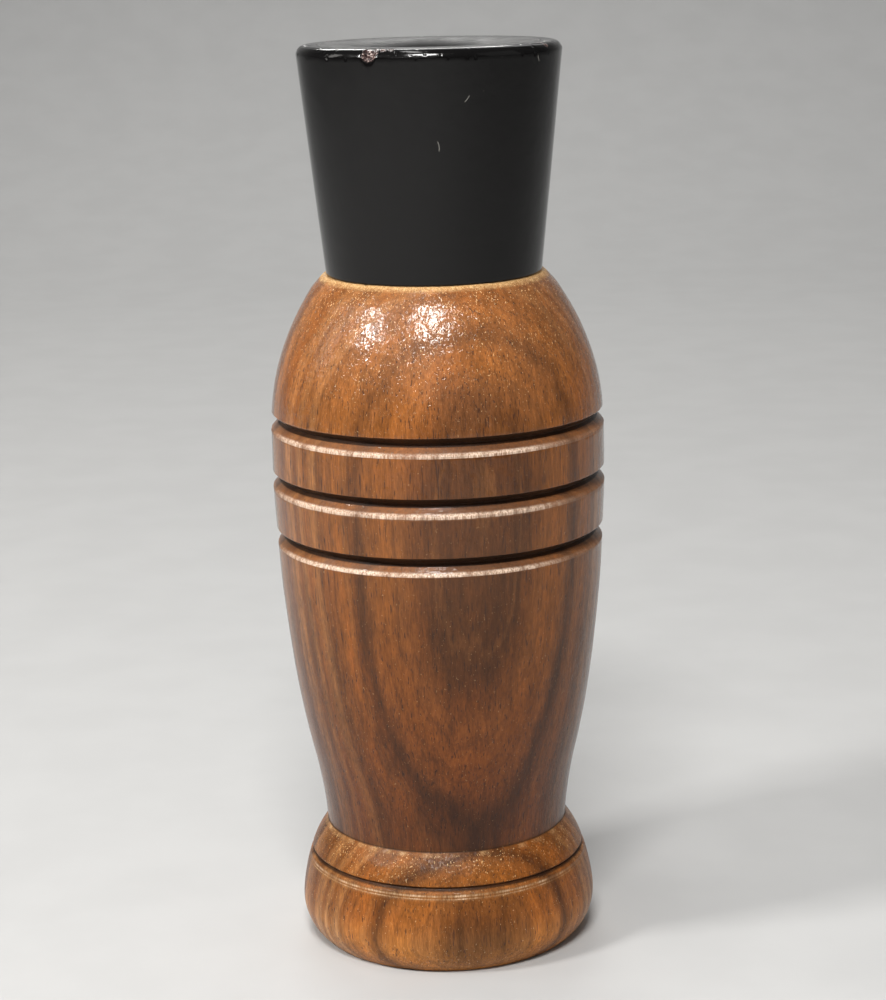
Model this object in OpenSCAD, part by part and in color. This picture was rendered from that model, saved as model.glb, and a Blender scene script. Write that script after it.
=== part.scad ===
// Duck call: a turned wooden barrel that stands on its flared mouthpiece, a
// tapered hard-plastic stopper on top, and the double-reed insert between them.
// Millimetres, +Z up. The origin is the centre of the mouthpiece's rest face.
// The reeds face -Y; the tone board is on the +Y side of them.

/* [Barrel] */
// Height of the wooden barrel, from the mouthpiece face to the joint with the stopper
barrel_h = 90.5; // [88:0.5:94]
// Largest radius of the barrel's belly
belly_r = 22; // [21:0.25:23]
// Radius of the waist above the flared foot, where a lanyard loop sits
waist_r = 16.2; // [15.8:0.1:16.8]
// Largest radius of the flared foot
foot_r = 19.9; // [19.4:0.1:20.4]
// Radius of the barrel's top edge at the joint
lip_r = 14.5; // [14.2:0.1:14.8]
// Diameter of the through bore, the usual 5/8 inch
bore_d = 15.875; // [15.8:0.025:16]
// Radius of the dished breath opening in the mouthpiece face
mouth_r = 12.4; // [11:0.2:13.5]
// Depth of the dish, down to the parallel bore
mouth_depth = 6; // [4:0.5:8]

/* [Decorative grooves] */
// Width of each V groove in the belly
groove_w = 2.3; // [1.6:0.1:2.6]
// Depth of each V groove in the belly
groove_d = 1.15; // [0.6:0.05:1.4]
// Height of the lowest belly groove
groove_z = 56.1; // [54:0.1:58]
// Spacing of the three belly grooves
groove_pitch = 7.7; // [6.5:0.1:8.5]

/* [Stopper] */
// Length of the stopper that shows above the barrel
stopper_h = 29.5; // [28:0.5:32]
// Radius at the joint with the barrel
stopper_r0 = 14.1; // [13.8:0.05:14.15]
// Radius at the top, before the rim is rounded
stopper_r1 = 17.2; // [16.6:0.1:18]
// Radius of the rounded rim
rim_r = 0.9; // [0.5:0.1:1.2]
// Radius of the exhaust hole where the sound comes out
exhaust_r = 4.4; // [4:0.1:5]
// Radius of the exhaust bell at the top face
bell_r = 12; // [10:0.5:13]
// Depth of the exhaust bell
bell_depth = 8; // [6:0.5:9]

/* [Reed insert] */
// Depth of the spigot in the stopper
spigot_h = 18; // [16:0.5:19]
// Length of the round tenon in the barrel's bore
tenon_h = 20; // [19:0.5:22]
// Length of the half-round tone board below the tenon
board_h = 45.5; // [42:0.5:48]
// Depth of the slot that takes the reeds and the wedge
slot_h = 10; // [9:0.5:10.5]
// Slope of the slot's ceiling, in degrees
slot_slope = 7; // [5:0.5:8]
// Width of the tone channel under the reeds
channel_w = 6; // [5:0.25:6.5]
// Depth of the tone channel
channel_d = 3.5; // [3:0.25:3.75]
// Radius of the sound bore through the tenon and the spigot
sound_r = 3.9; // [3.6:0.1:4.2]
// How far the board's face has curved away from the reeds at its tip
tip_gap = 1.6; // [1:0.1:2]

/* [Reeds, wedge and O-rings] */
// Width of both reeds
reed_w = 13; // [12:0.25:13.25]
// Thickness of the long lower reed
lower_reed_t = 0.36; // [0.3:0.02:0.4]
// Thickness of the short upper reed
upper_reed_t = 0.25; // [0.2:0.01:0.3]
// How far the tip of the upper reed stands off the lower one
reed_lift = 0.45; // [0.35:0.05:0.6]
// Section diameter of the O-rings
oring_d = 1.78; // [1.7:0.02:1.8]

/* [Hidden] */
$fn = 96;
eps = 0.01;

bore_r = bore_d / 2;
total_h = barrel_h + stopper_h;
tenon_r = bore_r - 0.09;              // running clearance in the barrel's bore
tenon_z = barrel_h - tenon_h;         // front face of the tenon
tip_z = tenon_z - board_h;            // tip of the tone board
slot_z = tenon_z + slot_h;            // back wall of the slot
ring_z = [slot_z + 3.1, slot_z + 7.4];// centres of the front and rear O-ring grooves
ring_w = 2.4;                         // width of an O-ring groove
ring_floor = bore_r - 1.54;           // radius of an O-ring groove's floor
curve_z = tenon_z - 18;               // where the board's face starts to curve away
curve_r = pow(curve_z - tip_z, 2) / (2 * tip_gap) + tip_gap / 2;
ceiling = 2.95;                       // height of the slot at its back wall
reed_gap = 0.01;                      // play under each reed

// Stations along the barrel, [height, radius], with the foot's below the waist
waist_z = 16.1;
foot_pts = [[0, foot_r - 2.35], [1, foot_r - 1.4], [2.5, foot_r - 0.5], [5, foot_r],
            [8, foot_r - 0.35], [11.7, foot_r - 1.3], [14, foot_r - 2.3], [waist_z, waist_r]];
body_pts = [[waist_z, waist_r], [20, waist_r + 0.45], [24, waist_r + 1.15],
            [28, waist_r + 2.05], [32, waist_r + 2.85], [38, waist_r + 3.8], [44, belly_r - 1.25],
            [50, belly_r - 0.65], [56.4, belly_r - 0.3], [64.3, belly_r], [71.9, belly_r - 0.1],
            [75, belly_r - 0.4], [78, belly_r - 1], [81, belly_r - 1.95], [84, belly_r - 3.2],
            [87, belly_r - 4.8], [89, belly_r - 6.1], [barrel_h, lip_r]];

// A smooth curve through stations: cubic Hermite pieces with limited slopes
function slope(p, i) =
    let (n = len(p) - 1,
         a = i == 0 ? undef : (p[i][1] - p[i - 1][1]) / (p[i][0] - p[i - 1][0]),
         b = i == n ? undef : (p[i + 1][1] - p[i][1]) / (p[i + 1][0] - p[i][0]))
    i == 0 ? b : i == n ? a : a * b <= 0 ? 0 : (a + b) / 2;
function hermite(p, i, t) =
    let (h = p[i + 1][0] - p[i][0], m0 = slope(p, i) * h, m1 = slope(p, i + 1) * h)
    [p[i][0] + t * h,
     (2 * t * t * t - 3 * t * t + 1) * p[i][1] + (t * t * t - 2 * t * t + t) * m0
     + (3 * t * t - 2 * t * t * t) * p[i + 1][1] + (t * t * t - t * t) * m1];
function curve(p, steps) = [for (i = [0 : len(p) - 2]) for (k = [0 : steps - 1]) hermite(p, i, k / steps)];

// [radius, height] pairs of the barrel's outside, from the rest face to the top edge
outside = [for (q = concat(curve(foot_pts, 3), curve(body_pts, 3), [[barrel_h, lip_r]])) [q[1], q[0]]];

// Radius of the barrel's outside at height z, between the stations
function outer_r(z) = lookup(z, [for (q = outside) [q[1], q[0]]]);

// A V groove in the revolved profile, with its floor a little above its middle
module vee(z, w, d) {
    r = outer_r(z);
    polygon([[r - d, z + w * 0.12], [r + 0.6, z - w * 0.5 - w * 0.5 * 0.6 / d], [r + 0.6, z + w * 0.5 + w * 0.38 * 0.6 / d]]);
}

module barrel() {
    color("saddlebrown")
    rotate_extrude()
    difference() {
        polygon(concat([[0, 0]], outside, [[0, barrel_h]]));
        // through bore, dished breath opening and lead-in for the O-rings
        translate([-1, -1]) square([bore_r + 1, barrel_h + 2]);
        polygon([for (k = [0 : 6]) let (a = 90 * k / 6)
                 [bore_r + (mouth_r - bore_r) * (1 - sin(a)), mouth_depth * (1 - cos(a))],
                 [0, mouth_depth], [0, -1], [mouth_r, -1]]);
        polygon([[0, barrel_h - 0.9], [bore_r - eps, barrel_h - 0.9], [bore_r + 0.6, barrel_h + eps], [0, barrel_h + eps]]);
        for (k = [0 : 2]) vee(groove_z + k * groove_pitch, groove_w, groove_d);
        vee(11.7, 0.9, 0.45);
    }
}

module stopper() {
    slant = (stopper_r1 - stopper_r0) / stopper_h;
    top_r = stopper_r1 - rim_r * slant;
    color([0.05, 0.05, 0.055])
    translate([0, 0, barrel_h])
    rotate_extrude()
    difference() {
        union() {
            polygon([[0, 0], [stopper_r0, 0], [top_r, stopper_h - rim_r], [0, stopper_h - rim_r]]);
            translate([0, stopper_h - rim_r - eps]) square([top_r - rim_r, rim_r + eps]);
            translate([top_r - rim_r, stopper_h - rim_r]) circle(r = rim_r);
        }
        // socket for the spigot, exhaust hole and its bell
        translate([-1, -1]) square([bore_r + 1, spigot_h + 1.2]);
        translate([-1, -1]) square([exhaust_r + 1, stopper_h + 2]);
        polygon(concat([[0, stopper_h - bell_depth]],
            [for (k = [0 : 8]) let (a = 90 * k / 8)
             [exhaust_r + (bell_r - exhaust_r) * (1 - cos(a)), stopper_h - bell_depth * (1 - sin(a))]],
            [[bell_r, stopper_h + 1], [0, stopper_h + 1]]));
    }
}

module tone_board() {
    color([0.16, 0.17, 0.16])
    difference() {
        union() {
            // tenon and spigot
            rotate_extrude()
            difference() {
                union() {
                    translate([0, tenon_z]) square([tenon_r, tenon_h]);
                    translate([0, barrel_h - eps]) square([bore_r - 0.02, spigot_h + eps + 0.2]);
                }
                for (z = ring_z) translate([ring_floor, z - ring_w / 2]) square([3, ring_w]);
            }
            // half-round board, rounded at its tip, whose face curves away from the reeds
            intersection() {
                translate([0, 0, tip_z]) cylinder(r = tenon_r - 0.25, h = board_h + 1);
                translate([0, curve_r, curve_z])
                    rotate([0, 90, 0]) cylinder(r = curve_r, h = 30, center = true, $fn = 360);
                translate([0, 20, 0]) rotate([90, 0, 0]) linear_extrude(height = 20) board_plan();
            }
            translate([0, 0, curve_z]) intersection() {
                cylinder(r = tenon_r - 0.25, h = tenon_z - curve_z + 1);
                translate([-20, 0, 0]) cube([40, 20, 40]);
            }
        }
        // tone channel, with a round blind end near the tip
        translate([-channel_w / 2, -eps, tip_z + 9]) cube([channel_w, channel_d + eps, slot_z + 1.5 - tip_z - 9]);
        translate([0, channel_d, tip_z + 9]) rotate([90, 0, 0]) cylinder(d = channel_w, h = channel_d + eps);
        // sound bore through the tenon and the spigot
        translate([0, 0, slot_z + 0.8]) cylinder(r = sound_r, h = total_h);
        // slot for the reeds and the wedge, with a sloping ceiling
        intersection() {
            translate([0, 0, tenon_z - 1]) cylinder(r = bore_r - 1.05, h = slot_h + 1);
            translate([-10, 0, 0]) rotate([90, 0, 90]) linear_extrude(height = 20)
                polygon([[0, tenon_z - 1], [0, slot_z], [-ceiling, slot_z],
                         [-ceiling - (slot_h + 1) * tan(slot_slope), tenon_z - 1]]);
        }
    }
}

// Outline of the board seen on its face, with a rounded tip
module board_plan() {
    w = 2 * tenon_r;
    translate([-w / 2, tip_z + 4]) square([w, curve_z - tip_z - 4 + eps]);
    translate([-w / 2 + 4, tip_z]) square([w - 8, 5]);
    for (s = [-1, 1]) translate([s * (w / 2 - 4), tip_z + 4]) circle(r = 4);
}

// Outline of a reed seen on its face: rounded at the tip, clipped at the back corners
module reed_plan(z0, z1) {
    c = 0.9;
    difference() {
        union() {
            translate([-reed_w / 2, z0 + 4.5]) square([reed_w, z1 - z0 - 4.5]);
            translate([-reed_w / 2 + 4.5, z0]) square([reed_w - 9, 5]);
            for (s = [-1, 1]) translate([s * (reed_w / 2 - 4.5), z0 + 4.5]) circle(r = 4.5);
        }
        for (s = [-1, 1])
            polygon([[s * (reed_w / 2 + 1), z1 - c], [s * (reed_w / 2 - c), z1 + 1], [s * (reed_w / 2 + 1), z1 + 1]]);
    }
}

module reed_outline(z0, z1)
    translate([0, 5, 0]) rotate([90, 0, 0]) linear_extrude(height = 10) reed_plan(z0, z1);

lower_y = -reed_gap;                       // back face of the lower reed
upper_y = lower_y - lower_reed_t - reed_gap; // back face of the upper reed
lower_z0 = tip_z + 0.8;
upper_z0 = tip_z + 4.8;
reed_z1 = slot_z - 0.2;
dimple_z = tip_z + 20;

module lower_reed() {
    color([0.85, 0.9, 0.92, 0.6])
    intersection() {
        reed_outline(lower_z0, reed_z1);
        translate([-10, lower_y - lower_reed_t, lower_z0 - 1]) cube([20, lower_reed_t, reed_z1 - lower_z0 + 2]);
    }
}

// Back face of the upper reed at height z: flat in the slot, then lifting to its tip
function upper_back(z) = z > tenon_z ? upper_y : upper_y - reed_lift * (tenon_z - z) / (tenon_z - upper_z0);

module upper_reed() {
    color([0.9, 0.75, 0.3, 0.6]) {
        intersection() {
            reed_outline(upper_z0, reed_z1);
            translate([-10, 0, 0]) rotate([90, 0, 90]) linear_extrude(height = 20)
                polygon([[upper_y, reed_z1 + 1], [upper_y, tenon_z], [upper_back(upper_z0 - 1), upper_z0 - 1],
                         [upper_back(upper_z0 - 1) - upper_reed_t, upper_z0 - 1],
                         [upper_y - upper_reed_t, tenon_z], [upper_y - upper_reed_t, reed_z1 + 1]]);
        }
        // dimple that keeps the two reeds apart
        intersection() {
            translate([0, upper_back(dimple_z) - 1.8 + abs(upper_back(dimple_z) - upper_y) - 0.01, dimple_z]) sphere(r = 1.8);
            translate([-2, upper_back(dimple_z) - upper_reed_t / 2, dimple_z - 2]) cube([4, 2, 4]);
        }
    }
}

// Cork wedge: flat on the reeds, sloped and rounded against the slot's ceiling
module wedge() {
    y0 = upper_y - upper_reed_t - 0.02;
    z0 = tenon_z - 1.8;
    z1 = slot_z - 0.3;
    color([0.72, 0.52, 0.33])
    intersection() {
        translate([0, 0, z0]) cylinder(r = bore_r - 1.7, h = z1 - z0);
        translate([-10, 0, 0]) rotate([90, 0, 90]) linear_extrude(height = 20)
            polygon([[y0, z0 - 1], [y0, z1 + 1], [-ceiling + 0.03 + (z1 + 1 - slot_z) * tan(slot_slope), z1 + 1],
                     [-ceiling + 0.03 - (slot_z - z0 + 1) * tan(slot_slope), z0 - 1]]);
    }
}

// O-ring squeezed between the groove's floor and the bore
module o_ring(z) {
    rotate_extrude()
    translate([0, z])
    intersection() {
        translate([(ring_floor + bore_r) / 2, 0]) circle(d = oring_d);
        translate([ring_floor + 0.02, -2]) square([bore_r - ring_floor - 0.04, 4]);
    }
}
module front_o_ring() { color([0.1, 0.1, 0.1]) o_ring(ring_z[0]); }
module rear_o_ring() { color([0.1, 0.1, 0.1]) o_ring(ring_z[1]); }

barrel();
stopper();
tone_board();
lower_reed();
upper_reed();
wedge();
front_o_ring();
rear_o_ring();
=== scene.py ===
import bpy
import math
import random
from mathutils import Vector, Matrix, noise


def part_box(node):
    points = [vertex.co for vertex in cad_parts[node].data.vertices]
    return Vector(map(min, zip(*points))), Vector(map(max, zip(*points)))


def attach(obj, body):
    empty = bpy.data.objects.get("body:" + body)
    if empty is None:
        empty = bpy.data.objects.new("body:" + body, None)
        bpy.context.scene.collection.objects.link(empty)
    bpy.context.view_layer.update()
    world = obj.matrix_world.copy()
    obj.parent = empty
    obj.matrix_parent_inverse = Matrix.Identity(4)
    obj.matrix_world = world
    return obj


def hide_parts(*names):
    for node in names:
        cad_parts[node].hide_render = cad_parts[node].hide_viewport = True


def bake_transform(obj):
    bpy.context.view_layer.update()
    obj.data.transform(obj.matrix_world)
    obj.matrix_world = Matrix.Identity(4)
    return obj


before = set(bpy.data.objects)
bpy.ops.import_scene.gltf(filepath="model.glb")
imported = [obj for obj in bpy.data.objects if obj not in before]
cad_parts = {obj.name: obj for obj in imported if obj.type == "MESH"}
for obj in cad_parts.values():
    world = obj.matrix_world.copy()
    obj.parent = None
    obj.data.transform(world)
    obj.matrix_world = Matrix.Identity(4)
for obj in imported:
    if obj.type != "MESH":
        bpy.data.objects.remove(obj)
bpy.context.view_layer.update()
MM = 0.001
scene = bpy.context.scene


# ------------------------------------------------------------------ frame sizes
def hi(n):
    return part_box(n)[1]


def lo(n):
    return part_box(n)[0]


ZJ = hi("barrel").z / MM            # joint between barrel and stopper, mm
ZT = hi("stopper").z / MM           # top of the stopper
BELLY = hi("barrel").x / MM         # largest radius
BORE = 15.875 / 2
TIP = lo("tone_board").z / MM       # tip of the tone board
SLOT_FACE = ZJ - 20.0               # front face of the tenon
SLOT_BACK = SLOT_FACE + 10.0


# ------------------------------------------------------------------ profile tools (mm, lists of (r, z))
def hermite(p, steps):
    """Smooth curve through stations [(z, r)], the same rule as the CAD source."""
    n = len(p) - 1
    out = []

    def slope(i):
        a = None if i == 0 else (p[i][1] - p[i - 1][1]) / (p[i][0] - p[i - 1][0])
        b = None if i == n else (p[i + 1][1] - p[i][1]) / (p[i + 1][0] - p[i][0])
        if i == 0:
            return b
        if i == n:
            return a
        return 0 if a * b <= 0 else (a + b) / 2

    for i in range(n):
        h = p[i + 1][0] - p[i][0]
        m0, m1 = slope(i) * h, slope(i + 1) * h
        k = max(2, int(h * steps))
        for j in range(k):
            t = j / k
            r = ((2 * t ** 3 - 3 * t * t + 1) * p[i][1] + (t ** 3 - 2 * t * t + t) * m0
                 + (3 * t * t - 2 * t ** 3) * p[i + 1][1] + (t ** 3 - t * t) * m1)
            out.append((r, p[i][0] + t * h))
    out.append((p[n][1], p[n][0]))
    return out


def fillet(pts, rad, closed=True):
    """Rounds corners of a polyline of (r, z, radius, tag) points; radius 0 keeps a corner."""
    n = len(pts)
    out = []
    for i, (x, y, f, tag) in enumerate(pts):
        if f <= 0:
            out.append((x, y, tag))
            continue
        a, b = Vector(pts[i - 1][:2]), Vector(pts[(i + 1) % n][:2])
        c = Vector((x, y))
        u, v = (a - c), (b - c)
        lu, lv = u.length, v.length
        u.normalize(), v.normalize()
        ang = math.acos(max(-1, min(1, u.dot(v))))
        if ang > math.pi - 0.05:
            out.append((x, y, tag))
            continue
        d = min(f / math.tan(ang / 2), lu * 0.45, lv * 0.45)
        rr = d * math.tan(ang / 2)
        cen = c + (u + v).normalized() * (rr / math.sin(ang / 2))
        p0, p1 = c + u * d, c + v * d
        a0, a1 = (p0 - cen), (p1 - cen)
        tot = a0.angle(a1)
        sgn = 1 if a0.x * a1.y - a0.y * a1.x > 0 else -1
        k = max(2, int(tot / 0.35))
        for j in range(k + 1):
            t = sgn * tot * j / k
            q = cen + Vector((a0.x * math.cos(t) - a0.y * math.sin(t), a0.x * math.sin(t) + a0.y * math.cos(t)))
            out.append((q.x, q.y, tag))
    return out


def resample(pts, step):
    """Splits long pieces of a closed (r, z, tag) loop so that no edge is longer than step(z)."""
    out = []
    n = len(pts)
    for i in range(n):
        x0, y0, t0 = pts[i]
        x1, y1, t1 = pts[(i + 1) % n]
        out.append((x0, y0, t0))
        d = math.hypot(x1 - x0, y1 - y0)
        k = int(d / step((x0 + x1) / 2, (y0 + y1) / 2))
        for j in range(1, k + 1):
            t = j / (k + 1)
            out.append((x0 + (x1 - x0) * t, y0 + (y1 - y0) * t, t0 if t0 == t1 else (t0 if t < 0.5 else t1)))
    return out


def lathe(name, prof, seg, warp=None, attrs=()):
    """Closed ring of a closed profile [(r, z, tag)] in mm. warp(r, phi, z, tag) gives (r, phi, z, {attribute: value})."""
    verts, vals = [], {a: [] for a in attrs}
    n = len(prof)
    for i in range(seg):
        phi = 2 * math.pi * i / seg
        for (r, z, tag) in prof:
            extra = {}
            rr, pp, zz = r, phi, z
            if warp:
                rr, pp, zz, extra = warp(r, phi, z, tag)
            verts.append((rr * MM * math.sin(pp), -rr * MM * math.cos(pp), zz * MM))
            for a in attrs:
                vals[a].append(extra.get(a, 0.0))
    faces = []
    for i in range(seg):
        a, b = i * n, ((i + 1) % seg) * n
        for j in range(n):
            k = (j + 1) % n
            faces.append((a + j, b + j, b + k, a + k))
    me = bpy.data.meshes.new(name)
    me.from_pydata(verts, [], faces)
    for a in attrs:
        at = me.attributes.new(a, "FLOAT", "POINT")
        at.data.foreach_set("value", vals[a])
    me.update()
    ob = bpy.data.objects.new(name, me)
    scene.collection.objects.link(ob)
    finish_mesh(ob)
    return ob


def finish_mesh(ob, smooth=True):
    """Normals outward, smooth shading."""
    import bmesh
    bm = bmesh.new()
    bm.from_mesh(ob.data)
    bmesh.ops.remove_doubles(bm, verts=bm.verts, dist=1e-8)
    bmesh.ops.recalc_face_normals(bm, faces=bm.faces)
    if bm.calc_volume(signed=True) < 0:
        bmesh.ops.reverse_faces(bm, faces=bm.faces)
    bm.to_mesh(ob.data)
    bm.free()
    for p in ob.data.polygons:
        p.use_smooth = smooth
    ob.data.update()


def sharp_by_angle(ob, deg):
    """Marks edges sharper than deg as sharp, so that shading breaks there."""
    import bmesh
    bm = bmesh.new()
    bm.from_mesh(ob.data)
    for e in bm.edges:
        if len(e.link_faces) == 2 and e.calc_face_angle(0) > math.radians(deg):
            e.smooth = False
    bm.to_mesh(ob.data)
    bm.free()


def n3(x, y, z):
    return noise.noise(Vector((x, y, z)))


def fbm(x, y, z, o=4):
    return noise.fractal(Vector((x, y, z)), 1.0, 2.0, o)


# ------------------------------------------------------------------ shader tools
class Mat:
    def __init__(self, name):
        self.m = bpy.data.materials.new(name)
        self.m.use_nodes = True
        self.t = self.m.node_tree
        self.t.nodes.clear()
        self.out = self.t.nodes.new("ShaderNodeOutputMaterial")
        self.bsdf = self.t.nodes.new("ShaderNodeBsdfPrincipled")
        self.t.links.new(self.bsdf.outputs[0], self.out.inputs[0])
        self.obj = self.t.nodes.new("ShaderNodeTexCoord").outputs["Object"]
        self.mm = self.scale(self.obj, (1000, 1000, 1000))

    def put(self, sock, v):
        if isinstance(v, bpy.types.NodeSocket):
            self.t.links.new(v, sock)
        else:
            sock.default_value = v

    def set(self, **kw):
        for k, v in kw.items():
            self.put(self.bsdf.inputs[k.replace("_", " ")], v)

    def scale(self, vec, s, loc=(0, 0, 0), rot=(0, 0, 0)):
        n = self.t.nodes.new("ShaderNodeMapping")
        self.put(n.inputs["Vector"], vec)
        n.inputs["Scale"].default_value = s
        n.inputs["Location"].default_value = loc
        n.inputs["Rotation"].default_value = rot
        return n.outputs[0]

    def math(self, op, a, b=0.0, c=0.0, clamp=False):
        n = self.t.nodes.new("ShaderNodeMath")
        n.operation = op
        n.use_clamp = clamp
        for i, v in enumerate((a, b, c)):
            if i < len(n.inputs):
                self.put(n.inputs[i], v)
        return n.outputs[0]

    def add(self, a, b):
        return self.math("ADD", a, b)

    def mul(self, a, b):
        return self.math("MULTIPLY", a, b)

    def mad(self, a, b, c):
        return self.math("MULTIPLY_ADD", a, b, c)

    def xyz(self, vec):
        n = self.t.nodes.new("ShaderNodeSeparateXYZ")
        self.put(n.inputs[0], vec)
        return n.outputs

    def combine(self, x, y, z):
        n = self.t.nodes.new("ShaderNodeCombineXYZ")
        for i, v in enumerate((x, y, z)):
            self.put(n.inputs[i], v)
        return n.outputs[0]

    def noise(self, vec, scale=1.0, detail=2.0, rough=0.5, dist=0.0):
        n = self.t.nodes.new("ShaderNodeTexNoise")
        self.put(n.inputs["Vector"], vec)
        n.inputs["Scale"].default_value = scale
        n.inputs["Detail"].default_value = detail
        n.inputs["Roughness"].default_value = rough
        n.inputs["Distortion"].default_value = dist
        return n.outputs["Fac"]

    def noise1(self, w, scale=1.0, detail=2.0, rough=0.5):
        n = self.t.nodes.new("ShaderNodeTexNoise")
        n.noise_dimensions = "1D"
        self.put(n.inputs["W"], w)
        n.inputs["Scale"].default_value = scale
        n.inputs["Detail"].default_value = detail
        n.inputs["Roughness"].default_value = rough
        return n.outputs["Fac"]

    def voronoi(self, vec, scale=1.0, feature="F1", rand=1.0):
        n = self.t.nodes.new("ShaderNodeTexVoronoi")
        n.feature = feature
        self.put(n.inputs["Vector"], vec)
        n.inputs["Scale"].default_value = scale
        n.inputs["Randomness"].default_value = rand
        return n.outputs

    def ramp(self, f, stops, interp="LINEAR"):
        n = self.t.nodes.new("ShaderNodeValToRGB")
        n.color_ramp.interpolation = interp
        el = n.color_ramp.elements
        while len(el) > 1:
            el.remove(el[-1])
        for i, (p, c) in enumerate(stops):
            if not isinstance(c, (tuple, list)):
                c = (c, c, c)
            e = el[0] if i == 0 else el.new(p)
            e.position = p
            e.color = (*c, 1)
        self.put(n.inputs[0], f)
        return n.outputs[0]

    def smooth(self, f, a, b, x=0.0, y=1.0):
        n = self.t.nodes.new("ShaderNodeMapRange")
        n.interpolation_type = "SMOOTHSTEP"
        self.put(n.inputs["Value"], f)
        n.inputs["From Min"].default_value = a
        n.inputs["From Max"].default_value = b
        n.inputs["To Min"].default_value = x
        n.inputs["To Max"].default_value = y
        return n.outputs[0]

    def mix(self, f, a, b, blend="MIX"):
        n = self.t.nodes.new("ShaderNodeMix")
        n.data_type = "RGBA"
        n.blend_type = blend
        n.clamp_result = False
        self.put(n.inputs[0], f)
        for sock, v in ((n.inputs[6], a), (n.inputs[7], b)):
            if isinstance(v, bpy.types.NodeSocket):
                self.t.links.new(v, sock)
            else:
                sock.default_value = (*v, 1) if len(v) == 3 else v
        return n.outputs[2]

    def attr(self, name):
        n = self.t.nodes.new("ShaderNodeAttribute")
        n.attribute_name = name
        return n.outputs["Fac"]

    def bump(self, h, strength=1.0, dist=0.0001, normal=None):
        n = self.t.nodes.new("ShaderNodeBump")
        n.inputs["Strength"].default_value = strength
        n.inputs["Distance"].default_value = dist
        self.put(n.inputs["Height"], h)
        if normal is not None:
            self.put(n.inputs["Normal"], normal)
        return n.outputs[0]


def srgb(*c):
    return tuple((v / 255 / 12.92) if v / 255 <= 0.04045 else ((v / 255 + 0.055) / 1.055) ** 2.4 for v in c)


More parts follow.
